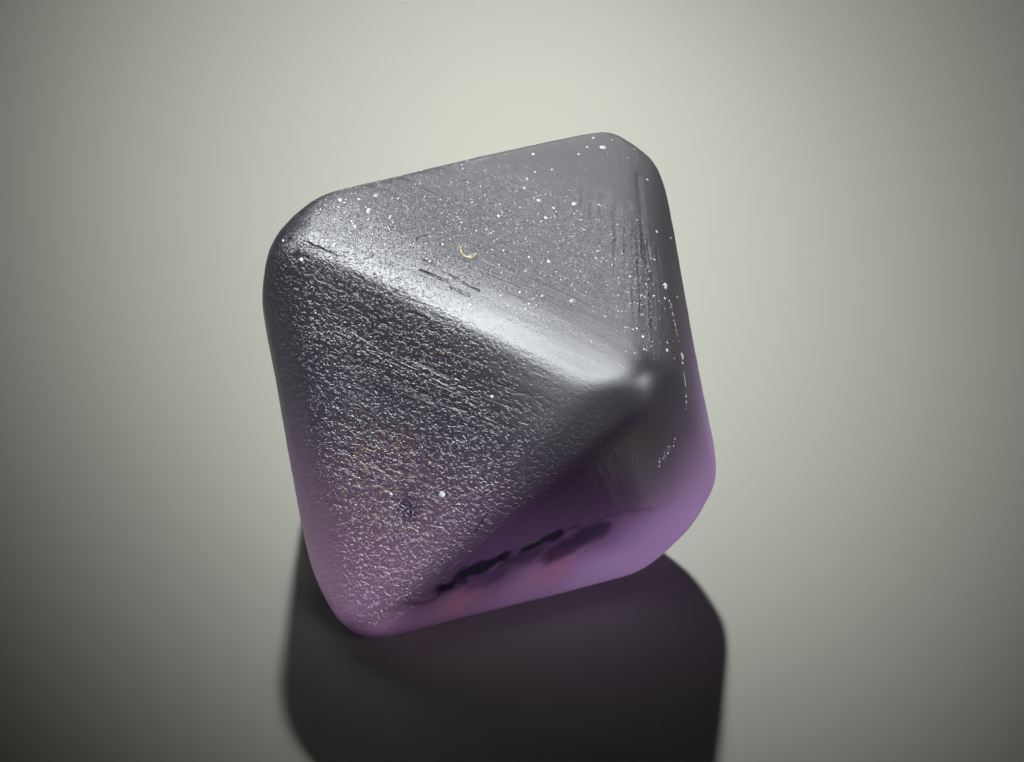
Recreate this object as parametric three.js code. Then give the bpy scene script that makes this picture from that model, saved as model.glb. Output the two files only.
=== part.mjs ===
// A natural spinel crystal: one worn octahedron, lying on one of its eight faces.
//
// The shape is worked out in the crystal's own axes, where the six tips of a sharp octahedron
// lie on its x, y and z axes, and is then turned to lie on the face that looks to (-1, -1, -1).
// Lying so, +x, +y and +z are the right, left and front tips of the top face, and -x, -y and -z
// are the left, right and back feet that it stands on.
import * as THREE from 'three';
import { mergeVertices } from 'three/addons/utils/BufferGeometryUtils.js';

// ---- driving dimensions, millimetres ----

const rows = 31;                // rows of triangles from a tip to the opposite edge of a face
const crowding = 1.15;          // above 1 draws the rows together towards the worn edges
const blend = 45;               // how sharply neighbouring planes meet: higher is crisper
const flatDepth = 0.012;        // what lies within this of the resting plane is exactly on it

// Each growth face: the way it looks, in crystal axes, and how far it lies from the centre.
// The upper ones lean a few degrees from the ideal octahedron, as natural growth left them.
const faces = {
  top: { toward: [1.03, 0.92, 1.06], reach: 2.82 },
  frontLeft: { toward: [-1.05, 1.02, 0.94], reach: 2.62 },
  frontRight: { toward: [1, -1, 1], reach: 2.87 },
  back: { toward: [1, 1, -1], reach: 2.44 },
  underFront: { toward: [-0.98, -1, 1.03], reach: 2.77 },
  underLeft: { toward: [-1, 1, -1], reach: 2.87 },
  underRight: { toward: [1, -1, -1], reach: 2.66 },
  rest: { toward: [-1, -1, -1], reach: 2.67 },
};

// Wear has planed every edge to a narrow flat. The widest is the one under the eye, between
// the top and the front left face.
const wornEdges = {
  topFrontLeft: { toward: [-0.05, 1, 1.02], reach: 3.08 },
  topFrontRight: { toward: [1, 0, 1], reach: 3.19 },
  topBack: { toward: [1, 1, 0], reach: 3.19 },
  frontLeftUnder: { toward: [-0.95, 0, 1], reach: 3.13 },
  leftSide: { toward: [-1, 1, 0], reach: 2.99 },
  frontRightUnder: { toward: [0, -1, 1], reach: 3.19 },
  rightSide: { toward: [1, -1, 0], reach: 3.11 },
  backLeft: { toward: [0, 1, -1], reach: 2.96 },
  backRight: { toward: [1, 0, -1], reach: 3.03 },
  footFront: { toward: [-1, -1, 0], reach: 3.11 },
  footLeft: { toward: [-1, 0, -1], reach: 3.13 },
  footRight: { toward: [0, -1, -1], reach: 3.03 },
};

// The tips are worn to blunt caps, most of all the right foot.
const wornTips = {
  rightTip: { toward: [1, 0, 0], reach: 4.02 },
  leftTip: { toward: [0, 1, 0], reach: 3.91 },
  frontTip: { toward: [0, 0, 1], reach: 4.23 },
  leftFoot: { toward: [-1, 0, 0], reach: 4.12 },
  rightFoot: { toward: [0, -1, 0], reach: 3.4 },
  backFoot: { toward: [0, 0, -1], reach: 4.05 },
};

// Slow swells of the surface, each a wave through the body.
const swells = [
  { along: [1, 0.4, -0.8], spacing: 3.1, height: 0.01, start: 0.4 },
  { along: [-0.3, 1, 0.6], spacing: 2.2, height: 0.008, start: 2.1 },
  { along: [0.7, -0.6, 1], spacing: 1.6, height: 0.005, start: 4.4 },
];

// A conchoidal chip along the lower front edge. It is deepest under its overhanging rim, which
// arches over the face, and runs out to nothing at the edge below.
const chip = {
  rimHeight: 2.05,              // of the rim's crown above the resting plane
  rimFall: 0.2,                 // how fast the rim drops to either side, per mm squared
  from: -2.5,
  to: 1.7,                      // its two ends, measured to the right of the crystal's middle
  fade: 0.6,                    // length over which either end runs out
  depth: 0.17,
  lip: 0.22,                    // height over which the rim breaks down to the full depth
  bites: [
    { spacing: 1.25, height: 0.1, start: 0.6 },
    { spacing: 0.7, height: 0.05, start: 2.0 },
  ],
};

// Single hollows: where, in crystal axes, how wide and how deep.
const hollows = [
  { name: 'etchPit', at: [-2.57, 0.75, 1.15], radius: 0.5, depth: 0.12 },
  { name: 'tipNotch', at: [0.26, 3.89, 0.34], radius: 0.45, depth: 0.05 },
  { name: 'backNick', at: [0.1, 2.3, -2.2], radius: 0.7, depth: 0.07 },
  { name: 'sideNick', at: [2.2, -2.2, -0.3], radius: 0.6, depth: 0.05 },
  { name: 'footNick', at: [-1.1, 0.2, -3.1], radius: 0.7, depth: 0.06 },
];

// ---- the worn octahedron ----

const toPlane = ({ toward, reach }) => ({ normal: new THREE.Vector3(...toward).normalize(), reach });
const planes = [faces, wornEdges, wornTips].flatMap((group) => Object.values(group).map(toPlane));

// Distance from the centre to the surface along a direction. The planes are joined by a high
// power mean, which keeps each one flat and rounds over where two meet.
function surfaceReach(direction) {
  const nearness = planes.map(({ normal, reach }) => Math.max(0, normal.dot(direction)) / reach);
  const nearest = Math.max(...nearness);
  const sum = nearness.reduce((total, value) => total + (value / nearest) ** blend, 0);
  return 1 / (nearest * sum ** (1 / blend));
}

// ---- turning between the crystal's axes and the way it lies ----

const right = new THREE.Vector3(1, -1, 0).normalize();
const rear = new THREE.Vector3(1, 1, -2).normalize();
const up = new THREE.Vector3(1, 1, 1).normalize();
const layDown = new THREE.Matrix4().makeBasis(right, rear, up).transpose();

const heightAboveRest = (point) => point.dot(up) + faces.rest.reach;

// ---- relief on the faces, as a depth below the worn octahedron ----

const { smoothstep } = THREE.MathUtils;

const wave = ({ spacing, height, start }, distance) =>
  height * Math.sin((2 * Math.PI * distance) / spacing + start);

function swellDepth(point) {
  return swells.reduce((depth, swell) => {
    const along = new THREE.Vector3(...swell.along).normalize();
    return depth + wave(swell, point.dot(along));
  }, 0);
}

function chipDepth(point) {
  const across = point.dot(right);
  const height = heightAboveRest(point);
  const facing = smoothstep(-point.dot(rear), 1.6, 2.2);
  const ends = smoothstep(across, chip.from, chip.from + chip.fade)
    * (1 - smoothstep(across, chip.to - chip.fade, chip.to));
  const arch = chip.rimHeight - chip.rimFall * across ** 2;
  const rim = chip.bites.reduce((level, bite) => level + wave(bite, across), arch);
  const broken = 1 - smoothstep(height, rim - chip.lip, rim);
  const runOut = Math.min(1, Math.max(0, height / rim));
  return chip.depth * facing * ends * broken * runOut;
}

function hollowDepth(point) {
  return hollows.reduce((depth, { at, radius, depth: deepest }) => {
    const distance = point.distanceTo(new THREE.Vector3(...at));
    return depth + deepest * (1 - smoothstep(distance, 0, radius));
  }, 0);
}

// The relief fades out close above the resting face, which stays flat.
function reliefDepth(point) {
  const clearOfRest = smoothstep(heightAboveRest(point), 0.05, 0.6);
  return clearOfRest * (swellDepth(point) + chipDepth(point) + hollowDepth(point));
}

// ---- the crystal ----

// The direction in which a point of the round grid is put on the crystal. Its shares of the
// three axes are drawn towards the nearest edges, so that the rows of triangles lie closest
// together where the surface bends.
function crowdToEdges(onGrid) {
  const reach = Math.abs(onGrid.x) + Math.abs(onGrid.y) + Math.abs(onGrid.z);
  const crowd = (value) => Math.sign(value) * Math.abs(value / reach) ** crowding;
  return new THREE.Vector3(crowd(onGrid.x), crowd(onGrid.y), crowd(onGrid.z)).normalize();
}

function crystalGeometry() {
  const grid = new THREE.OctahedronGeometry(1, rows - 1);
  grid.deleteAttribute('normal');
  grid.deleteAttribute('uv');
  const geometry = mergeVertices(grid);
  const position = geometry.attributes.position;
  for (let i = 0; i < position.count; i += 1) {
    const onGrid = new THREE.Vector3().fromBufferAttribute(position, i);
    const direction = crowdToEdges(onGrid);
    const point = direction.clone().multiplyScalar(surfaceReach(direction));
    point.addScaledVector(direction, -reliefDepth(point));
    point.applyMatrix4(layDown);
    point.z += faces.rest.reach;
    if (point.z < flatDepth) point.z = 0;
    position.setXYZ(i, point.x, point.y, point.z);
  }
  geometry.computeBoundingBox();
  const middle = geometry.boundingBox.getCenter(new THREE.Vector3());
  geometry.translate(-middle.x, -middle.y, 0);
  geometry.computeVertexNormals();
  return geometry;
}

const spinel = new THREE.MeshStandardMaterial({
  color: 0x5f4a66,
  roughness: 0.45,
  metalness: 0,
});

const crystal = new THREE.Mesh(crystalGeometry(), spinel);
crystal.name = 'spinel_crystal';

const part = new THREE.Group();
part.add(crystal);

export default part;
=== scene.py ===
import math
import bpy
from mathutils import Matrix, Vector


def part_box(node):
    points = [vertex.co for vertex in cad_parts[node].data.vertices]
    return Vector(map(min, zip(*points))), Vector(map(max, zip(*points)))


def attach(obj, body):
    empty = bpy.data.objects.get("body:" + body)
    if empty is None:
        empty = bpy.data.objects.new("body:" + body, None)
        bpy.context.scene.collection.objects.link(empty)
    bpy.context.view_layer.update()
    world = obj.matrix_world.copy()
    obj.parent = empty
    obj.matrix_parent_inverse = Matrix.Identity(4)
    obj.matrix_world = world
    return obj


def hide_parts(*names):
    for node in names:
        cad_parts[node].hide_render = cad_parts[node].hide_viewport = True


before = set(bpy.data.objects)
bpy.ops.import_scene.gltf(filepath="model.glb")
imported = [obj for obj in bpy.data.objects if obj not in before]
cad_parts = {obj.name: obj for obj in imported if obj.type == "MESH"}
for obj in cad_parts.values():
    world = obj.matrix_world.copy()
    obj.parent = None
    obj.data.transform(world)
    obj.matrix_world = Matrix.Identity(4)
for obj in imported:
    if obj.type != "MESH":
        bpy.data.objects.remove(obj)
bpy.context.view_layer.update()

from types import SimpleNamespace

import bmesh
import bpy
from mathutils import Matrix, Vector

crystalNode = "spinel_crystal"
mm = 0.001
print("frame loaded")


# The crystal's own axes: the tips of a sharp octahedron lie on x, y and z. It rests on the face
# that looks to (-1, -1, -1), so +x, +y and +z are the right, left and front tips of its top.
# Places in these axes are in millimetres from the middle.

toRight = Vector((1, -1, 0)).normalized()
toRear = Vector((1, 1, -2)).normalized()
toTop = Vector((1, 1, 1)).normalized()
alongBand = Vector((0, -1, 1)).normalized()  # the bright worn edge of the top, left to front
acrossBelt = (-0.288, 0.412, 0.864)  # the etch is deepest in a belt that lies across this way
layDown = Matrix((toRight, toRear, toTop))  # crystal axes to the way it lies


class Wires:
    # short ways to place nodes in a tree and join them up; each returns an output socket

    def __init__(self, tree):
        self.tree = tree

    def node(self, kind, inputs=None, **settings):
        node = self.tree.nodes.new(kind)
        for name, value in settings.items():
            setattr(node, name, value)
        for name, value in (inputs or {}).items():
            self.feed(value, node.inputs[name])
        return node

    def feed(self, value, socket):
        if isinstance(value, bpy.types.NodeSocket):
            self.tree.links.new(value, socket)
        else:
            socket.default_value = value

    def math(self, operation, *values, clamp=False):
        return self.node("ShaderNodeMath", dict(enumerate(values)), operation=operation,
                         use_clamp=clamp).outputs[0]

    def vector(self, operation, *values):
        node = self.node("ShaderNodeVectorMath", operation=operation)
        for index, value in enumerate(values):
            self.feed(value, node.inputs["Scale" if operation == "SCALE" and index else index])
        gives = "Value" if operation in {"DOT_PRODUCT", "LENGTH", "DISTANCE"} else "Vector"
        return node.outputs[gives]

    def fold(self, operation, values):
        result = values[0]
        for value in values[1:]:
            result = self.math(operation, result, value)
        return result

    def total(self, *values):
        return self.fold("ADD", values)

    def product(self, *values):
        return self.fold("MULTIPLY", values)

    def most(self, *values):
        return self.fold("MAXIMUM", values)

    def least(self, *values):
        return self.fold("MINIMUM", values)

    def gap(self, value, other):
        return self.math("ABSOLUTE", self.math("SUBTRACT", value, other))

    def aroundZero(self, noise, width):
        # noise runs round a half; here it runs round nought
        return self.math("MULTIPLY", self.math("SUBTRACT", noise, 0.5), width)

    def mix(self, share, first, second):
        return self.node("ShaderNodeMix", {0: share, 2: first, 3: second}).outputs[0]

    def blend(self, share, first, second):
        # the same for colours
        return self.node("ShaderNodeMix", {0: share, 6: first, 7: second},
                         data_type="RGBA").outputs[2]

    def ramp(self, value, start, end, low=0.0, high=1.0, kind="SMOOTHSTEP"):
        return self.node("ShaderNodeMapRange", {"Value": value, 1: start, 2: end, 3: low, 4: high},
                         interpolation_type=kind).outputs[0]

    def noise(self, vector, scale, detail=2.0, roughness=0.5):
        return self.node("ShaderNodeTexNoise", {"Vector": vector, "Scale": scale, "Detail": detail,
                                                "Roughness": roughness}).outputs[0]

    def parts(self, vector):
        split = self.node("ShaderNodeSeparateXYZ", {0: vector})
        return split.outputs[0], split.outputs[1], split.outputs[2]

    def join(self, x, y, z):
        return self.node("ShaderNodeCombineXYZ", {0: x, 1: y, 2: z}).outputs[0]

    def near(self, point, place, outer, inner):
        # 1 within the inner radius of a place, and 0 past the outer one
        return self.ramp(self.vector("DISTANCE", point, place), outer, inner)

    def fromSegment(self, point, start, end):
        # how far a point is from the straight line between two others
        along = self.vector("SUBTRACT", end, start)
        offset = self.vector("SUBTRACT", point, start)
        share = self.math("DIVIDE", self.vector("DOT_PRODUCT", offset, along),
                          self.vector("DOT_PRODUCT", along, along), clamp=True)
        return self.vector("DISTANCE", offset, self.vector("SCALE", along, share))


def addSocket(tree, name, kind, output=False):
    tree.interface.new_socket(name, in_out="OUTPUT" if output else "INPUT",
                              socket_type="NodeSocket" + kind)


def applyNodes(carrier, tree, values):
    # runs a Geometry Nodes tree on the carrier's mesh and keeps the result as a plain mesh
    modifier = carrier.modifiers.new(tree.name, "NODES")
    modifier.node_group = tree
    sockets = {item.name: item.identifier for item in tree.interface.items_tree
               if item.item_type == "SOCKET" and item.in_out == "INPUT"}
    for name, value in values.items():
        modifier[sockets[name]] = value
    depsgraph = bpy.context.evaluated_depsgraph_get()
    made = bpy.data.meshes.new_from_object(carrier.evaluated_get(depsgraph))
    carrier.modifiers.clear()
    carrier.data = made
    return carrier


def addPiece(name, mesh):
    piece = bpy.data.objects.new(name, mesh)
    bpy.context.scene.collection.objects.link(piece)
    return piece


spinelLook = {
    "ior": 1.718,
    "absorbed": (0.53, 0.38, 0.59),  # what is left of white after the mean free path
    "absorption": 900.0,  # per metre
    "transmission": 0.80,
    "bodyTint": (0.080, 0.072, 0.090, 1.0),
    # painted shade: darker on the front right side and under the front
    "shadeTint": (0.036, 0.014, 0.042, 1.0),  # the front right side and under the front
    # painted glow: lighter purple, violet and pink where light comes through the lower front, the
    # feet and the rim
    "frontGlowTint": (0.26, 0.13, 0.30, 1.0),
    "violetGlowTint": (0.84, 0.48, 0.97, 1.0),
    "pinkGlowTint": (0.60, 0.30, 0.56, 1.0),
    "brownTint": (0.42, 0.27, 0.14, 1.0),
    "paintedRedGlint": (0.92, 0.34, 0.50, 1.0),
    # painted shade on the broken edge; the scores darken to it too
    "shadeAndScoreTint": (0.015, 0.014, 0.03, 1.0),
    "pitTint": (0.07, 0.035, 0.10, 1.0),
    "faceRoughness": 0.17,
    "wornRoughness": 0.43,
    "hazeRoughness": 0.50,  # the front left face away from its middle
    "underRoughness": 0.24,
    "rightRoughness": (0.75, 0.76),  # the dull front right side, from its tip to the front
    "grainsPerMm": 15.5,
    "crackleHeight": 0.028 * mm,
    "gritHeight": 0.012 * mm,
    "linesPerMm": 16.0,
    "lineHeight": 0.052 * mm,
    "stepHeight": -0.030 * mm,
    "markDepth": 0.020 * mm,
    "scoreStray": 0.024,  # how far the sides of a score or a patch of painted shade stray, in millimetres
    "rimShadeStray": 0.30,
}

# fine scores: where each starts and ends in crystal axes, how wide it is, and how dark
scores = [
    ((-0.12, 3.88, -0.15), (-0.13, 3.89, 0.20), 0.014, 0.5),
    ((-0.13, 3.89, 0.20), (-0.12, 3.70, 0.60), 0.030, 1.0),
    ((-0.12, 3.70, 0.60), (-0.13, 3.42, 0.90), 0.018, 0.7),
    ((0.14, 2.60, 1.78), (0.14, 2.28, 2.08), 0.024, 0.9),
    ((0.08, 2.22, 2.13), (0.08, 2.02, 2.33), 0.026, 0.9),
    ((0.29, 2.62, 1.76), (0.27, 2.42, 1.94), 0.020, 0.9),
    ((0.25, 2.36, 2.00), (0.19, 1.95, 2.41), 0.019, 0.8),
    ((0.53, 2.79, 1.57), (0.66, 2.70, 1.60), 0.020, 0.6),
    ((-0.30, 3.66, 0.53), (-0.30, 3.61, 0.57), 0.030, 0.8),
    ((-2.52, -0.03, 1.91), (-2.26, 0.05, 2.12), 0.018, 0.6),
]
# painted shade along the broken edge, in its hollows and in shaded patches beside them, in the
# same terms
paintedRimShade = [
    ((-2.92, -0.41, 1.44), (-2.45, -0.72, 1.60), 0.20, 1.0),
    ((-2.16, -1.02, 1.54), (-1.74, -1.29, 1.58), 0.20, 1.0),
    ((-3.18, -0.32, 1.16), (-2.95, -0.55, 1.18), 0.13, 0.8),
    ((-1.85, -1.57, 1.26), (-1.24, -1.85, 1.50), 0.32, 0.8),
    ((-2.40, -0.95, 1.45), (-2.10, -1.20, 1.38), 0.30, 0.6),
    ((-2.85, -0.80, 1.10), (-2.60, -1.00, 1.15), 0.28, 0.4),
]


def crystalAxesGroup():
    # Object coordinates turned and scaled to the crystal's own axes, in millimetres
    tree = bpy.data.node_groups.new("crystalAxes", "ShaderNodeTree")
    addSocket(tree, "Position", "Vector", output=True)
    addSocket(tree, "Height", "Float", output=True)
    wires = Wires(tree)
    position = wires.node("ShaderNodeMapping", {
        "Vector": wires.node("ShaderNodeTexCoord").outputs["Object"], "Location": crystalMiddle,
        "Rotation": layDown.to_euler(), "Scale": (mm, mm, mm)}, vector_type="TEXTURE").outputs[0]
    out = wires.node("NodeGroupOutput")
    wires.feed(position, out.inputs[0])
    wires.feed(wires.vector("DOT_PRODUCT", position, toTop), out.inputs[1])
    return tree


def inSteps(wires, value, count, tread):
    # turns a smooth value into level steps; tread is the level share of each
    levels = wires.math("MULTIPLY", value, count)
    riser = wires.ramp(wires.math("FRACT", levels), tread, 1.0)
    return wires.math("DIVIDE", wires.math("ADD", wires.math("FLOOR", levels), riser), count)


def etchedFrostGroup():
    # a crackle of tiny etched plates with steep borders, and a finer grit on them
    tree = bpy.data.node_groups.new("etchedFrost", "ShaderNodeTree")
    addSocket(tree, "Position", "Vector")
    addSocket(tree, "Grains", "Float")
    addSocket(tree, "Crackle", "Float", output=True)
    addSocket(tree, "Grit", "Float", output=True)
    wires = Wires(tree)
    position, perMm = wires.node("NodeGroupInput").outputs[:2]
    shortened = wires.vector("SCALE", alongBand, wires.math(
        "MULTIPLY", wires.vector("DOT_PRODUCT", position, alongBand), -0.15))
    stretched = wires.vector("ADD", position, shortened)  # longer plates along the worn band
    crackle = inSteps(wires, wires.noise(stretched, perMm, roughness=0.6), 4.0, 0.4)
    grit = wires.noise(position, wires.math("MULTIPLY", perMm, 3.2), detail=1.0)
    out = wires.node("NodeGroupOutput")
    wires.feed(crackle, out.inputs[0])
    wires.feed(grit, out.inputs[1])
    return tree


def growthLinesGroup():
    # fine straight striations, and terraces with sharp risers: most run along the top's front
    # left edge, and those at the top's front right edge run along that
    tree = bpy.data.node_groups.new("growthLines", "ShaderNodeTree")
    addSocket(tree, "Position", "Vector")
    addSocket(tree, "Lines", "Float")
    addSocket(tree, "Striations", "Float", output=True)
    addSocket(tree, "Terraces", "Float", output=True)
    wires = Wires(tree)
    position, perMm = wires.node("NodeGroupInput").outputs[:2]
    x, y = wires.parts(wires.vector("ABSOLUTE", position))[:2]
    nearer = wires.math("SUBTRACT", y, wires.math("MULTIPLY", x, 0.4))
    fade = wires.ramp(wires.math("ABSOLUTE", nearer), 0.02, 0.20)  # where the two ways meet
    offEdge = wires.mix(wires.math("GREATER_THAN", nearer, 0.0), y, x)

    def streaks(perMm, unevenness, roughness=0.5):
        off = wires.join(wires.math("MULTIPLY", offEdge, perMm), 0.0, 0.0)
        loose = wires.vector("ADD", wires.vector("SCALE", position, unevenness), off)
        return wires.noise(loose, 1.0, roughness=roughness)

    out = wires.node("NodeGroupOutput")
    terraces = inSteps(wires, streaks(2.0, 0.14), 12.0, 0.7)
    for index, relief in enumerate((streaks(perMm, 0.5, 0.6), terraces)):
        wires.feed(wires.aroundZero(relief, fade), out.inputs[index])
    return tree


def scoreMarkGroup():
    # one scratch, as a mask that is 1 along its middle
    tree = bpy.data.node_groups.new("scoreMark", "ShaderNodeTree")
    for name in ("Position", "Start", "End"):
        addSocket(tree, name, "Vector")
    addSocket(tree, "Width", "Float")
    addSocket(tree, "Mask", "Float", output=True)
    wires = Wires(tree)
    given = wires.node("NodeGroupInput").outputs
    away = wires.fromSegment(given[0], given[1], given[2])
    mask = wires.math("SUBTRACT", 1.0, wires.math("DIVIDE", away, given[3]), clamp=True)
    out = wires.node("NodeGroupOutput")
    wires.feed(mask, out.inputs[0])
    return tree


def markMasks(wires, position, marks, scale, detail, stray):
    # a mask for each mark with how dark it is; noise makes its sides stray
    noise = wires.node("ShaderNodeTexNoise", {
        "Vector": position, "Scale": scale, "Detail": detail})
    strayed = wires.vector("ADD", position, wires.vector("SCALE", noise.outputs["Color"], stray))
    mean = Vector((stray, stray, stray)) / 2  # of what the noise adds
    masks = []
    for start, end, width, darkness in marks:
        mask = wires.node("ShaderNodeGroup", {
            "Position": strayed, "Start": mean + Vector(start), "End": mean + Vector(end),
            "Width": width}, node_tree=scoreMark).outputs[0]
        masks.append((mask, darkness))
    return masks


def placesOn(wires):
    # what the patterns go by: x, y, height over the middle, across the front, and the belt
    position, height = wires.node("ShaderNodeGroup", node_tree=axesGroup).outputs[:2]
    x, y = wires.parts(position)[:2]
    beltAt = wires.vector("DOT_PRODUCT", position, acrossBelt)
    return SimpleNamespace(
        position=position, height=height, x=x, y=y, beltAt=beltAt,
        across=wires.vector("DOT_PRODUCT", position, toRight),
        belt=wires.ramp(wires.gap(beltAt, 2.0), 2.1, 0.2))


def spinelRelief(wires, look, at, scored):
    grain = wires.node("ShaderNodeGroup", {"Position": at.position, "Grains": look["grainsPerMm"]},
                       node_tree=etchedFrost).outputs
    lines = wires.node("ShaderNodeGroup", {"Position": at.position, "Lines": look["linesPerMm"]},
                       node_tree=growthLines).outputs
    offMiddle = wires.math("ABSOLUTE", at.x)  # the worn band lies where x is about nought
    gritty = wires.product(wires.ramp(at.belt, 0.0, 1.0, 0.3, 1.0),
                           wires.ramp(at.x, -0.5, 0.5, 0.25, 1.0))
    # the plates: sharpest in the belt, on the front left face, and towards the band's left end
    etched = wires.product(
        wires.ramp(wires.gap(at.beltAt, 2.15), 1.7, 0.35, 0.12, 1.0),
        wires.ramp(at.x, 0.2, -0.4, 0.75, 1.0),
        wires.ramp(offMiddle, 0.45, 0.15, 1.0, wires.ramp(at.y, 1.6, 2.8, 0.35, 0.8)),
        wires.ramp(at.y, -0.6, 0.15, 0.10, 1.0))
    # the lines: in patches, mostly on the top face
    offBand = wires.ramp(offMiddle, 0.25, 0.7, 0.3, 1.0)
    lined = wires.product(
        wires.ramp(wires.noise(at.position, 1.3, detail=1.0), 0.38, 0.62, 0.4, 1.0), offBand,
        wires.ramp(at.belt, 0.1, 0.9, 0.06, 1.0), wires.ramp(at.x, -0.2, 0.4, 0.4, 1.0),
        wires.ramp(at.y, -0.6, 0.15, 0.3, 1.0))
    # the terraces: most of all just under the band
    underBand = wires.product(wires.ramp(at.x, -0.15, -0.4), wires.ramp(at.x, -1.9, -0.9),
                              wires.ramp(at.y, 0.2, 0.8))
    stepped = wires.product(wires.ramp(at.belt, 0.0, 1.0, 0.2, 1.0), offBand,
                            wires.math("ADD", underBand, 0.4))
    normal = None
    for relief, strength, distance in (
            (grain["Grit"], gritty, look["gritHeight"]),
            (grain["Crackle"], etched, look["crackleHeight"]),
            (lines["Striations"], lined, look["lineHeight"]),
            (lines["Terraces"], stepped, look["stepHeight"]),
            (wires.math("MULTIPLY", scored, -1.0), 1.0, look["markDepth"])):
        bump = wires.node("ShaderNodeBump", {
            "Height": relief, "Distance": distance, "Strength": strength})
        if normal:
            wires.feed(normal, bump.inputs["Normal"])
        normal = bump.outputs[0]
    return normal


def spinelTint(wires, look, at, darkScoresAndShade):
    # painted glow: the colour turns a lighter violet and pink where light comes through the thin
    # left foot, the lower front rim and the right foot; the lighter colour also lets more real
    # light through
    alongHeight = wires.math("MULTIPLY", wires.vector("DOT_PRODUCT", at.position, alongBand), 0.25)
    tilted = wires.math("SUBTRACT", at.height, alongHeight)
    leftGlow = wires.product(wires.ramp(tilted, 1.0, -3.0, 0.0, 0.72),
                             wires.ramp(at.y, -0.35, 0.25))
    rimHeight = wires.math("ADD", at.height, wires.ramp(at.across, -0.4, -1.2, 0.0, 0.35))
    rimGlow = wires.product(wires.ramp(rimHeight, -1.0, -1.8), wires.ramp(at.y, 0.5, -0.3),
                            wires.ramp(at.across, -1.6, -0.6, 0.7, 1.0))
    glow = wires.most(leftGlow, rimGlow, wires.ramp(at.y, -1.55, -3.2))
    paintedGlowColour = wires.blend(wires.ramp(at.across, 0.6, -1.8), look["violetGlowTint"], look["pinkGlowTint"])

    # painted shade, darker on the front right side and under the front
    tint = wires.blend(wires.ramp(at.y, 0.05, -0.5), look["bodyTint"], look["shadeTint"])
    # painted glow, a lighter purple towards the bottom of the front
    underFront = wires.product(
        wires.ramp(at.y, 0.0, -0.6), wires.ramp(wires.math("ADD", at.x, at.y), 0.4, -1.8),
        wires.ramp(at.height, 1.2, -1.0, 0.08, 1.0))
    underFront = wires.most(underFront, wires.ramp(at.y, -0.7, -2.2, 0.0, 0.7))
    tint = wires.blend(underFront, tint, look["frontGlowTint"])
    tint = wires.blend(glow, tint, paintedGlowColour)

    # brown dirt round the pit, and two painted red glints over the lower front rim
    brown = wires.product(wires.near(at.position, (-2.4, 1.2, 1.0), 1.3, 0.3),
                          wires.ramp(wires.noise(at.position, 14.0), 0.50, 0.64), 0.5)
    tint = wires.blend(brown, tint, look["brownTint"])
    red = wires.most(wires.near(at.position, (-2.01, -1.84, 0.97), 0.7, 0.0),
                     wires.near(at.position, (-3.12, -0.91, 0.81), 0.6, 0.0))
    tint = wires.blend(wires.math("MULTIPLY", red, 0.6), tint, look["paintedRedGlint"])
    inPit = wires.near(at.position, (-2.6, 0.72, 1.15), 0.32, 0.05)
    tint = wires.blend(inPit, tint, look["pitTint"])
    # painted shade on the broken edge and in its hollows, and the dark of the scores
    chipShade = wires.node("ShaderNodeAttribute", attribute_name="chip_shade").outputs["Fac"]
    return wires.blend(wires.most(chipShade, *darkScoresAndShade), tint, look["shadeAndScoreTint"])


def spinelRoughness(wires, look, at):
    # silkiest in the belt, unevenly so on the top, and worn dull away from it
    uneven = wires.product(
        wires.ramp(wires.noise(at.position, 7.0, detail=3.0), 0.32, 0.68, -0.45, 0.40),
        wires.ramp(at.x, 0.7, 1.2))
    roughness = wires.ramp(wires.math("ADD", at.belt, uneven), 0.0, 1.0,
                           look["wornRoughness"], look["faceRoughness"])
    hazy = wires.product(wires.ramp(at.belt, 0.8, 0.1), wires.ramp(at.x, -0.15, -0.7))
    roughness = wires.mix(hazy, roughness, look["hazeRoughness"])
    underSide = wires.product(wires.ramp(at.y, -0.2, -0.8), wires.ramp(at.x, 0.4, -0.5))
    roughness = wires.mix(underSide, roughness, look["underRoughness"])
    frontRight = wires.product(wires.ramp(at.y, 0.05, -0.45), wires.ramp(at.x, -0.7, 0.2))
    return wires.mix(wires.most(frontRight, wires.ramp(at.y, -1.9, -2.8)), roughness,
                     wires.ramp(at.x, 2.8, 1.2, *look["rightRoughness"]))


def makeSpinel(look):
    material = bpy.data.materials.new("frosted_spinel")
    material.use_nodes = True
    material.node_tree.nodes.clear()
    wires = Wires(material.node_tree)
    at = placesOn(wires)
    scoreMasks = markMasks(wires, at.position, scores, 9.0, 0.0, look["scoreStray"])
    rimShadeMasks = markMasks(wires, at.position, paintedRimShade, 4.0, 2.0, look["rimShadeStray"])
    scored = wires.most(*[mask for mask, darkness in scoreMasks])
    inked = wires.most(*[wires.math("MULTIPLY", *mask) for mask in scoreMasks])
    # the dark of the scores, and painted shade along the broken edge
    darkScoresAndShade = [wires.ramp(inked, 0.1, 0.6)]
    darkScoresAndShade += [wires.ramp(mask, 0.0, 0.6, 0.0, darkness) for mask, darkness in rimShadeMasks]
    surface = wires.node("ShaderNodeBsdfPrincipled", {
        "Base Color": spinelTint(wires, look, at, darkScoresAndShade),
        "Roughness": spinelRoughness(wires, look, at), "IOR": look["ior"],
        "Transmission Weight": look["transmission"],
        "Normal": spinelRelief(wires, look, at, scored)})
    inside = wires.node("ShaderNodeVolumeAbsorption", {
        "Color": (*look["absorbed"], 1.0), "Density": look["absorption"]})
    out = wires.node("ShaderNodeOutputMaterial")
    wires.feed(surface.outputs[0], out.inputs["Surface"])
    wires.feed(inside.outputs[0], out.inputs["Volume"])
    return material


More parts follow.
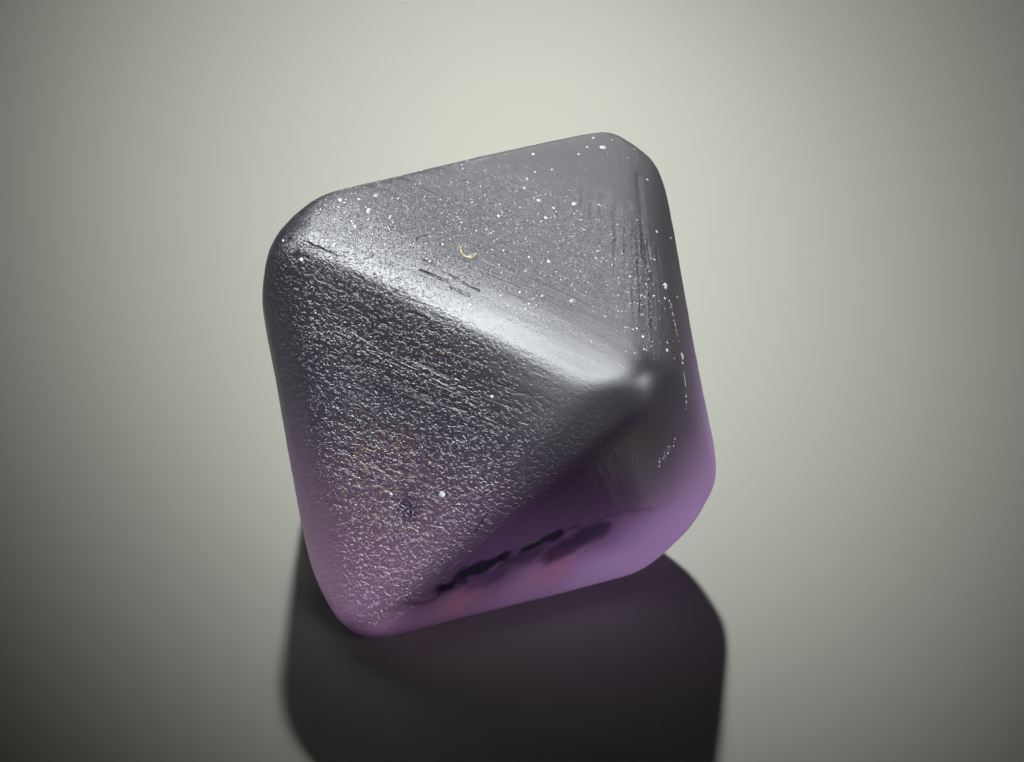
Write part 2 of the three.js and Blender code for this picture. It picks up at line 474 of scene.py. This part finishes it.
def makeCrumbs(name, pale, dark, roughness):
    # dust, lint and grit: a matt material, mottled from pale to dark
    material = bpy.data.materials.new(name)
    material.use_nodes = True
    wires = Wires(material.node_tree)
    position = wires.node("ShaderNodeGroup", node_tree=axesGroup).outputs[0]
    mottle = wires.ramp(wires.noise(position, 22.0), 0.35, 0.65)
    shader = material.node_tree.nodes["Principled BSDF"]
    color = wires.blend(mottle, (*dark, 1.0), (*pale, 1.0))
    wires.feed(color, shader.inputs["Base Color"])
    shader.inputs["Roughness"].default_value = roughness
    return material


crystalShape = {
    "rows": 140,  # rows of triangles from a tip to the opposite edge of a face
    "Crispness": 45.0,  # of the edges, as the power of a mean
    "Swell": 0.01,  # this and the rest in millimetres
    "Chip Depth": 0.10,
    "Chip Rim": 2.05,  # over the resting face
    "Hollow Depth": 0.06,
    "Pit Depth": 0.03,
    "Groove Depth": 0.014,
    "Step Height": 0.018,
}
# where each starts and ends, and half its width
hollowsUnderRim = [
    ((-3.20, -0.38, 1.12), (-2.55, -0.72, 1.55), 0.15),
    ((-2.22, -0.98, 1.66), (-1.82, -1.22, 1.80), 0.13),
]
grooves = [
    ((3.45, 0.02, 1.05), (2.10, -0.03, 2.42), 0.09),
    ((2.30, -0.08, 2.20), (1.90, -0.03, 2.60), 0.06),
    ((-0.13, 3.95, 0.10), (-0.13, 3.45, 0.85), 0.07),
]

# which way each plane looks, and how far it lies from the middle
growthFaces = {
    "top": ((1.03, 0.92, 1.06), 2.82),
    "frontLeft": ((-1.05, 1.02, 0.94), 2.62),
    "frontRight": ((1, -1, 1), 2.87),
    "back": ((1, 1, -1), 2.44),
    "underFront": ((-0.98, -1, 1.03), 2.77),
    "underLeft": ((-1, 1, -1), 2.87),
    "underRight": ((1, -1, -1), 2.66),
    "rest": ((-1, -1, -1), 2.67),
}
wornEdges = {
    "topFrontLeft": ((-0.05, 1, 1.02), 3.08),
    "topFrontRight": ((1, 0, 1), 3.19),
    "topBack": ((1, 1, 0), 3.19),
    "frontLeftUnder": ((-0.95, 0, 1), 3.13),
    "leftSide": ((-1, 1, 0), 2.99),
    "frontRightUnder": ((0, -1, 1), 3.19),
    "rightSide": ((1, -1, 0), 3.11),
    "backLeft": ((0, 1, -1), 2.96),
    "backRight": ((1, 0, -1), 3.03),
    "footFront": ((-1, -1, 0), 3.11),
    "footLeft": ((-1, 0, -1), 3.13),
    "footRight": ((0, -1, -1), 3.03),
}
wornTips = {
    "rightTip": ((1, 0, 0), 4.02),
    "leftTip": ((0, 1, 0), 3.91),
    "frontTip": ((0, 0, 1), 4.23),
    "leftFoot": ((-1, 0, 0), 4.12),
    "rightFoot": ((0, -1, 0), 3.4),
    "backFoot": ((0, 0, -1), 4.05),
}
planes = [*growthFaces.values(), *wornEdges.values(), *wornTips.values()]
restReach = growthFaces["rest"][1]
# which way each wave of the swell runs, its length, its share of the height and its start
swells = [
    ((1, 0.4, -0.8), 3.1, 1.0, 0.4),
    ((-0.3, 1, 0.6), 2.2, 0.8, 2.1),
    ((0.7, -0.6, 1), 1.6, 0.5, 4.4),
]
pitPlace, pitRadius = (-2.6, 0.74, 1.15), 0.36


def octahedronGrid(rows):
    grid = bmesh.new()
    tips = ((1, 0, 0), (-1, 0, 0), (0, 1, 0), (0, -1, 0), (0, 0, 1), (0, 0, -1))
    corners = [grid.verts.new(tip) for tip in tips]
    for x in (0, 1):
        for y in (2, 3):
            for z in (4, 5):
                ring = [corners[x], corners[y], corners[z]]
                if (x + y + z) % 2:
                    ring.reverse()
                grid.faces.new(ring)
    bmesh.ops.subdivide_edges(grid, edges=grid.edges[:], cuts=rows - 1, use_grid_fill=True)
    bmesh.ops.recalc_face_normals(grid, faces=grid.faces[:])
    mesh = bpy.data.meshes.new("octahedronGrid")
    grid.to_mesh(mesh)
    grid.free()
    return mesh


def wornOctahedronTree():
    tree = bpy.data.node_groups.new("wornOctahedron", "GeometryNodeTree")
    addSocket(tree, "Geometry", "Geometry")
    for name in ("Crispness", "Swell", "Chip Depth", "Chip Rim", "Hollow Depth", "Pit Depth",
                 "Groove Depth", "Step Height"):
        addSocket(tree, name, "Float")
    addSocket(tree, "Surface", "Material")
    addSocket(tree, "Geometry", "Geometry", output=True)
    wires = Wires(tree)
    given = wires.node("NodeGroupInput").outputs

    # a high power mean of the planes: each stays flat and rounds over where two meet
    here = wires.node("GeometryNodeInputPosition").outputs[0]
    direction = wires.vector("NORMALIZE", here)
    typicalReach = 3.0
    powers = []
    for toward, reach in planes:
        normal = Vector(toward).normalized() * (typicalReach / reach)
        nearness = wires.math("MAXIMUM", wires.vector("DOT_PRODUCT", direction, normal), 0.0)
        powers.append(wires.math("POWER", nearness, given["Crispness"]))
    mean = wires.math("POWER", wires.total(*powers), wires.math("DIVIDE", 1.0, given["Crispness"]))
    reach = wires.math("DIVIDE", typicalReach, mean)
    point = wires.vector("SCALE", direction, reach)

    across = wires.vector("DOT_PRODUCT", point, toRight)
    rearward = wires.vector("DOT_PRODUCT", point, toRear)
    height = wires.math("ADD", wires.vector("DOT_PRODUCT", point, toTop), restReach)

    # slow swells
    waves = []
    for along, spacing, share, start in swells:
        wave = Vector(along).normalized() * (2 * math.pi / spacing)
        turned = wires.math("ADD", wires.vector("DOT_PRODUCT", point, wave), start)
        waves.append(wires.math("MULTIPLY", wires.math("SINE", turned), share))
    swell = wires.math("MULTIPLY", wires.total(*waves), given["Swell"])

    # the chip along the lower front edge, under its bitten rim
    facing = wires.ramp(wires.math("MULTIPLY", rearward, -1.0), 1.5, 2.0)
    ends = wires.product(wires.ramp(across, -2.7, -2.1), wires.ramp(across, 1.9, 0.3))
    leftSlope = wires.math("MULTIPLY", wires.least(wires.math("ADD", across, 0.3), 0.0), 0.51)
    bites = wires.aroundZero(wires.noise(point, 2.4, detail=4.0, roughness=0.65), 0.6)
    rim = wires.total(given["Chip Rim"], leftSlope, bites)
    below = wires.math("SUBTRACT", rim, height)
    broken = wires.ramp(below, 0.0, 0.06)
    runOut = wires.ramp(wires.math("DIVIDE", height, rim), 0.1, 1.0, kind="LINEAR")
    chip = wires.product(given["Chip Depth"], facing, ends, broken, runOut)

    # deeper hollows bitten in under the rim
    rough = wires.aroundZero(wires.noise(point, 5.0, detail=3.0), 0.12)
    hollows = []
    for start, end, halfWidth in hollowsUnderRim:
        away = wires.math("ADD", wires.fromSegment(point, start, end), rough)
        hollows.append(wires.ramp(away, halfWidth, halfWidth * 0.45))
    hollow = wires.math("MULTIPLY", given["Hollow Depth"], wires.total(*hollows))

    # painted shade on the broken edge: how dark it looks in the hollows and just under the rim
    lip = wires.product(wires.ramp(below, -0.02, 0.03), wires.ramp(below, 0.30, 0.06), facing,
                        wires.ramp(across, -2.5, -2.1), wires.ramp(across, 0.9, -0.2))
    shade = wires.math("MAXIMUM", wires.math("MULTIPLY", lip, 0.55), wires.total(*hollows),
                       clamp=True)

    # the etched pit on the front left face, and grooves along two edges
    pit = wires.math("MULTIPLY", given["Pit Depth"], wires.near(point, pitPlace, pitRadius, 0.0))
    grooveCuts = []
    for start, end, halfWidth in grooves:
        grooveCuts.append(wires.ramp(wires.fromSegment(point, start, end), halfWidth, 0.0))
    groove = wires.math("MULTIPLY", given["Groove Depth"], wires.total(*grooveCuts))

    # growth steps parallel to the edges
    offX, offY = wires.parts(wires.vector("ABSOLUTE", point))[:2]
    apart = wires.ramp(wires.gap(offX, offY), 0.0, 0.5)
    stepAt = wires.math("ADD", wires.math("MULTIPLY", wires.least(offX, offY), 5.0),
                        wires.math("MULTIPLY", wires.noise(point, 0.6, detail=1.0), 2.0))
    steps = wires.noise(wires.join(stepAt, 0.0, 0.0), 1.0)
    step = wires.math("MULTIPLY", wires.aroundZero(steps, apart), given["Step Height"])

    # none of it near the resting face
    clear = wires.ramp(height, 0.05, 0.6)
    relief = wires.math("MULTIPLY", clear, wires.total(swell, chip, hollow, pit, groove, step))
    sunk = wires.vector("SUBTRACT", point, wires.vector("SCALE", direction, relief))

    # laid down on its resting face, which is exactly flat
    lift = wires.math("ADD", wires.vector("DOT_PRODUCT", sunk, toTop), restReach)
    onRest = wires.math("MULTIPLY", lift, wires.math("GREATER_THAN", lift, 0.012))
    laid = wires.join(wires.vector("DOT_PRODUCT", sunk, toRight),
                      wires.vector("DOT_PRODUCT", sunk, toRear), onRest)
    shaded = wires.node("GeometryNodeStoreNamedAttribute", {
        "Geometry": given["Geometry"], "Name": "chip_shade", "Value": shade}, data_type="FLOAT")
    placed = wires.node("GeometryNodeSetPosition", {"Geometry": shaded.outputs[0],
                                                    "Position": wires.vector("SCALE", laid, mm)})
    smooth = wires.node("GeometryNodeSetShadeSmooth", {0: placed.outputs[0]})
    realized = wires.node("GeometryNodeRealizeInstances", {0: smooth.outputs[0]})
    painted = wires.node("GeometryNodeSetMaterial", {"Geometry": realized.outputs[0],
                                                     "Material": given["Surface"]})
    out = wires.node("NodeGroupOutput")
    wires.feed(painted.outputs[0], out.inputs[0])
    return tree


def makeCrystal():
    crystal = addPiece("frosted_crystal", octahedronGrid(crystalShape["rows"]))
    values = {name: value for name, value in crystalShape.items() if name != "rows"}
    applyNodes(crystal, wornOctahedronTree(), values)
    lo = Vector(min(v.co[i] for v in crystal.data.vertices) for i in range(3))
    hi = Vector(max(v.co[i] for v in crystal.data.vertices) for i in range(3))
    cadLo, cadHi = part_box(crystalNode)
    shift = (cadLo + cadHi) / 2 - (lo + hi) / 2
    shift.z = 0.0
    crystal.data.transform(Matrix.Translation(shift))
    return crystal, shift + Vector((0, 0, restReach * mm))


crystal, crystalMiddle = makeCrystal()
print("crystal made,", len(crystal.data.polygons), "faces")

axesGroup = crystalAxesGroup()
etchedFrost = etchedFrostGroup()
growthLines = growthLinesGroup()
scoreMark = scoreMarkGroup()
crystal.data.materials.clear()
crystal.data.materials.append(makeSpinel(spinelLook))
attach(crystal, "root")
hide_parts(crystalNode)
print("spinel material made")


# the dirt and chips on the crystal
dustOnTop = {
    "Density": 1.6e7,  # to the square metre
    "Seed": 4,
    "Smallest": 0.005 * mm,
    "Largest": 0.052 * mm,
    "Scarcity": 9.0,  # of the larger ones
}
glintsOnEdge = {
    "Density": 5.0e8,
    "Seed": 7,
    "Smallest": 0.004 * mm,
    "Largest": 0.018 * mm,
    "Scarcity": 2.5,
}
# bright crumbs that stand in for the sparkle of the etched top: painted glints
glintsOnTop = {
    "Density": 1.5e8,
    "Seed": 11,
    "Smallest": 0.004 * mm,
    "Largest": 0.012 * mm,
    "Scarcity": 3.0,
}
gritInPits = {
    "Density": 1.6e7,
    "Seed": 2,
    "Smallest": 0.005 * mm,
    "Largest": 0.022 * mm,
    "Scarcity": 3.0,
}
# chips, and painted glints of bright crumbs, sparkle along the edge of the front right side
glintTrail = [(2.20, -0.15, 2.30), (1.55, -0.45, 2.85), (1.30, -0.65, 3.05), (1.00, -0.95, 3.05),
              (0.50, -1.30, 3.05), (0.10, -1.45, 3.02), (-0.25, -1.60, 2.85), (-0.55, -1.75, 2.45)]
# rust-coloured grit lies in and above the pit
gritRadius = 0.35
gritSpots = [(-0.86, 1.80, 1.93), (-2.2, 1.16, 1.15), (-2.75, 1.05, 0.65), (-1.6, 1.2, 1.7)]


def crumbsTree(name, lie, thin=None):
    # scatters tiny flat crumbs over a surface; lie says where they may lie, and thin how densely
    tree = bpy.data.node_groups.new(name, "GeometryNodeTree")
    addSocket(tree, "Geometry", "Geometry")
    addSocket(tree, "Density", "Float")
    addSocket(tree, "Seed", "Int")
    for value in ("Smallest", "Largest", "Scarcity"):
        addSocket(tree, value, "Float")
    addSocket(tree, "Surface", "Material")
    addSocket(tree, "Geometry", "Geometry", output=True)
    wires = Wires(tree)
    given = wires.node("NodeGroupInput").outputs
    density = wires.math("MULTIPLY", given["Density"], thin(wires) if thin else 1.0)
    spread = wires.node("GeometryNodeDistributePointsOnFaces", {
        "Mesh": given["Geometry"], "Selection": lie(wires), "Density": density,
        "Seed": given["Seed"]})
    chance = wires.node("FunctionNodeRandomValue", {"Seed": given["Seed"]},
                        data_type="FLOAT").outputs[1]
    span = wires.math("SUBTRACT", given["Largest"], given["Smallest"])
    size = wires.math("ADD", given["Smallest"], wires.math(
        "MULTIPLY", wires.math("POWER", chance, given["Scarcity"]), span))
    shape = wires.node("FunctionNodeRandomValue", {
        0: (0.6, 0.6, 0.35), 1: (1.3, 1.3, 0.7), "Seed": given["Seed"]},
        data_type="FLOAT_VECTOR").outputs[0]
    crumb = wires.node("GeometryNodeMeshIcoSphere", {"Radius": 1.0, "Subdivisions": 1})
    placed = wires.node("GeometryNodeInstanceOnPoints", {
        "Points": spread.outputs["Points"], "Instance": crumb.outputs[0],
        "Rotation": spread.outputs["Rotation"], "Scale": wires.vector("SCALE", shape, size)})
    realized = wires.node("GeometryNodeRealizeInstances", {0: placed.outputs[0]})
    smooth = wires.node("GeometryNodeSetShadeSmooth", {0: realized.outputs[0]})
    painted = wires.node("GeometryNodeSetMaterial", {"Geometry": smooth.outputs[0],
                                                     "Material": given["Surface"]})
    out = wires.node("NodeGroupOutput")
    wires.feed(painted.outputs[0], out.inputs[0])
    return tree


def inCrystalAxes(wires):
    # a point of the laid crystal, back in its own axes and in millimetres
    here = wires.node("GeometryNodeInputPosition").outputs[0]
    off = wires.vector("SCALE", wires.vector("SUBTRACT", here, crystalMiddle), 1 / mm)
    return wires.join(*[wires.vector("DOT_PRODUCT", off, row) for row in layDown.transposed()])


def facingUp(wires):
    return wires.parts(wires.node("GeometryNodeInputNormal").outputs[0])[2]


def onUpperFaces(wires):
    return wires.math("GREATER_THAN", facingUp(wires), 0.25)


def mostlyOnTop(wires):
    return wires.ramp(facingUp(wires), 0.35, 0.8, 0.2, 1.0)


def onTopFace(wires):
    return wires.math("GREATER_THAN", facingUp(wires), 0.8)


def thinAtSides(wires):
    # densest over the middle of the top face, thinning out in patches
    point = inCrystalAxes(wires)
    x = wires.parts(point)[0]
    off = wires.gap(wires.vector("DOT_PRODUCT", point, acrossBelt), 1.9)
    loose = wires.math("ADD", off, wires.ramp(wires.noise(point, 1.1), 0.35, 0.65, 0.0, 0.6))
    return wires.product(wires.ramp(loose, 2.1, 0.5), wires.ramp(x, 3.0, 1.8),
                         wires.ramp(x, 0.1, 0.5))


def alongTrail(wires):
    point = inCrystalAxes(wires)
    away = [wires.fromSegment(point, *ends) for ends in zip(glintTrail, glintTrail[1:])]
    loose = wires.ramp(wires.noise(point, 3.0), 0.35, 0.7, 0.01, 0.09)
    return wires.math("LESS_THAN", wires.least(*away), loose)


def inGritSpots(wires):
    point = inCrystalAxes(wires)
    away = [wires.vector("DISTANCE", point, spot) for spot in gritSpots]
    return wires.math("LESS_THAN", wires.least(*away), gritRadius)


def addCrumbs(name, lie, values, surface, thin=None):
    crumbs = addPiece(name, crystal.data.copy())
    applyNodes(crumbs, crumbsTree(name, lie, thin), {**values, "Surface": surface})
    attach(crumbs, "root")
    print(name, len(crumbs.data.polygons), "faces")
    return crumbs


lintCurl = {
    "path": [(0.69, 2.31, 1.95), (0.62, 2.31, 2.00), (0.57, 2.27, 2.06), (0.57, 2.20, 2.12),
             (0.61, 2.15, 2.13), (0.66, 2.12, 2.11), (0.70, 2.11, 2.07)],
    "thickness": 0.015 * mm,
    "lift": 0.03,  # off the face, in millimetres
}


def addLint(setup, surface):
    curve = bpy.data.curves.new("lint_curl", "CURVE")
    curve.dimensions = "3D"
    curve.bevel_depth = setup["thickness"] / 2
    curve.bevel_resolution = 2
    curve.resolution_u = 6
    curve.use_fill_caps = True
    spline = curve.splines.new("NURBS")
    spline.points.add(len(setup["path"]) - 1)
    spline.use_endpoint_u = True
    for point, place in zip(spline.points, setup["path"]):
        off = layDown @ (Vector(place) + toTop * setup["lift"])
        point.co = (*(crystalMiddle + off * mm), 1.0)
    shaped = addPiece("lint_curl_path", curve)
    depsgraph = bpy.context.evaluated_depsgraph_get()
    lint = addPiece("lint_curl", bpy.data.meshes.new_from_object(shaped.evaluated_get(depsgraph)))
    bpy.data.objects.remove(shaped)
    lint.data.materials.clear()
    lint.data.materials.append(surface)
    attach(lint, "root")
    return lint


paleDust = makeCrumbs("pale_dust", (0.42, 0.42, 0.44), (0.20, 0.20, 0.22), 0.6)
# bright crumbs: chips along an edge, and painted glints there and on the top
brightChipsAndGlints = makeCrumbs("bright_chips_and_glints", (0.85, 0.82, 0.86), (0.6, 0.5, 0.62), 0.3)
yellowLint = makeCrumbs("yellow_lint", (0.58, 0.44, 0.20), (0.34, 0.24, 0.09), 0.7)
rustGrit = makeCrumbs("rust_grit", (0.46, 0.26, 0.08), (0.20, 0.10, 0.05), 0.6)
smallPieces = [
    addCrumbs("dust_specks", onUpperFaces, dustOnTop, paleDust, mostlyOnTop),
    addCrumbs("edge_chips_and_glints", alongTrail, glintsOnEdge, brightChipsAndGlints),
    addCrumbs("top_glints", onTopFace, glintsOnTop, brightChipsAndGlints, thinAtSides),
    addCrumbs("pit_grit", inGritSpots, gritInPits, rustGrit),
    addLint(lintCurl, yellowLint),
]


stageLook = {
    "floorRadius": 1.5,
    "floorColor": (0.38, 0.394, 0.34, 1.0),
    "floorRoughness": 0.8,
    "floorSpecular": 0.2,
    "ambient": (0.97, 1.0, 0.93, 1.0),
    "ambientStrength": 0.010,
}
# softboxes round the crystal: compass angle from the rear (clockwise from above), height angle,
# width and radiance; they light only the crystal
softboxes = {
    "key": (-86, 47, 0.20, 11.4),
    "overhead": (24, 65, 0.18, 5.2),
    "rear_left": (-47, 14, 0.16, 3.8),
    "rear_right": (46, 27, 0.20, 1.3),
    "rear_right_low": (62, 4, 0.15, 0.8),
    "rear": (20, 6, 0.16, 1.6),
    "left": (-112, 30, 0.16, 2.0),
    "front_left": (-122, 46, 0.13, 4.2),
    "camera_side": (-148, 22, 0.12, 3.2),
    "front_right": (165, 10, 0.14, 10.5),
}
softboxSetup = {"distance": 0.25, "color": (0.957, 1.0, 1.0)}
# round pools of light on the floor alone: compass and height of the lamp, where it aims in
# millimetres, the radius at which it fades out, and its strength
poolsOfLight = {
    "pool_rear": (20, 43, (8, 10), 8, 0.80),
    "pool_front": (20, 43, (2, 3), 5, 0.74),
    "pool_wide": (20, 43, (2, 3), 8, 0.38),
}
poolSetup = {
    "distance": 0.15,
    "lampRadius": 0.006,
    "gain": 0.56,  # set by trial, so that the strengths above are near the floor's radiance
}


def makeStage(look):
    disc = bmesh.new()
    bmesh.ops.create_circle(disc, cap_ends=True, segments=128, radius=look["floorRadius"])
    mesh = bpy.data.meshes.new("floor")
    disc.to_mesh(mesh)
    disc.free()
    floor = addPiece("floor", mesh)
    material = bpy.data.materials.new("pale_floor")
    material.use_nodes = True
    shader = material.node_tree.nodes["Principled BSDF"]
    shader.inputs["Base Color"].default_value = look["floorColor"]
    shader.inputs["Roughness"].default_value = look["floorRoughness"]
    shader.inputs["Specular IOR Level"].default_value = look["floorSpecular"]
    mesh.materials.append(material)
    world = bpy.data.worlds.new("studio")
    world.use_nodes = True
    background = world.node_tree.nodes["Background"]
    background.inputs["Color"].default_value = look["ambient"]
    background.inputs["Strength"].default_value = look["ambientStrength"]
    bpy.context.scene.world = world
    return floor


def toward(compass, height):
    around, up = math.radians(compass), math.radians(height)
    return Vector((math.sin(around) * math.cos(up), math.cos(around) * math.cos(up), math.sin(up)))


def lookAt(place, target, up=Vector((0, 0, 1))):
    back = (place - target).normalized()
    right = up.cross(back).normalized()
    turn = Matrix((right, back.cross(right), back)).transposed()
    return Matrix.Translation(place) @ turn.to_4x4()


def addLamp(name, lamp, place, target, lit):
    lampObject = bpy.data.objects.new(name, lamp)
    lampObject.matrix_world = lookAt(place, target)
    lampObject.visible_camera = False
    bpy.context.scene.collection.objects.link(lampObject)
    lampObject.light_linking.receiver_collection = lit
    return lampObject


def addSoftbox(name, compass, height, width, radiance, lit):
    lamp = bpy.data.lights.new(name, "AREA")
    lamp.shape = "SQUARE"
    lamp.size = width
    lamp.energy = radiance * math.pi * width * width
    lamp.color = softboxSetup["color"]
    place = crystalMiddle + toward(compass, height) * softboxSetup["distance"]
    return addLamp(name, lamp, place, crystalMiddle, lit)


def addPool(name, compass, height, aim, radius, radiance, lit):
    distance = poolSetup["distance"]
    lamp = bpy.data.lights.new(name, "SPOT")
    lamp.shadow_soft_size = poolSetup["lampRadius"]
    lamp.spot_size = 2 * math.atan(radius * mm / distance)
    lamp.spot_blend = 1.0
    overhead = math.sin(math.radians(height))
    lamp.energy = radiance * 4 * math.pi ** 2 * distance ** 2 / poolSetup["gain"] / overhead
    target = Vector((aim[0] * mm, aim[1] * mm, 0.0))
    return addLamp(name, lamp, target + toward(compass, height) * distance, target, lit)


litCrystal = bpy.data.collections.new("lit_crystal")
litFloor = bpy.data.collections.new("lit_floor")
for group in (litCrystal, litFloor):
    bpy.context.scene.collection.children.link(group)
for piece in (crystal, *smallPieces):
    litCrystal.objects.link(piece)
litFloor.objects.link(makeStage(stageLook))
for name, (compass, height, width, radiance) in softboxes.items():
    addSoftbox(name, compass, height, width, radiance, litCrystal)
for name, (compass, height, aim, radius, radiance) in poolsOfLight.items():
    addPool(name, compass, height, aim, radius, radiance, litFloor)

cameraSetup = {
    "azimuth": math.radians(-37.06),
    "elevation": math.radians(34.78),
    "roll": math.radians(9.5),
    "distance": 0.25,
    "frameWidth": 14.366 * mm,  # how much of the world the picture is wide, at the crystal
    "aimRight": 0.327 * mm,
    "aimUp": 0.029 * mm,
}


def makeCamera(setup):
    a, e, r = setup["azimuth"], setup["elevation"], setup["roll"]
    back = Vector((math.sin(a) * math.cos(e), -math.cos(a) * math.cos(e), math.sin(e)))
    levelUp = Vector((-math.sin(a) * math.sin(e), math.cos(a) * math.sin(e), math.cos(e)))
    levelRight = Vector((math.cos(a), math.sin(a), 0))
    up = levelUp * math.cos(r) - levelRight * math.sin(r)
    right = up.cross(back)
    aim = crystalMiddle + right * setup["aimRight"] + up * setup["aimUp"]
    data = bpy.data.cameras.new("camera")
    data.sensor_width = 36.0
    data.lens = data.sensor_width * setup["distance"] / setup["frameWidth"]
    data.clip_start, data.clip_end = 0.01, 10.0
    camera = bpy.data.objects.new("camera", data)
    camera.matrix_world = lookAt(aim + back * setup["distance"], aim, up)
    bpy.context.scene.collection.objects.link(camera)
    bpy.context.scene.camera = camera


makeCamera(cameraSetup)
bpy.context.scene.view_settings.view_transform = "Standard"
print("stage, lights and camera set")
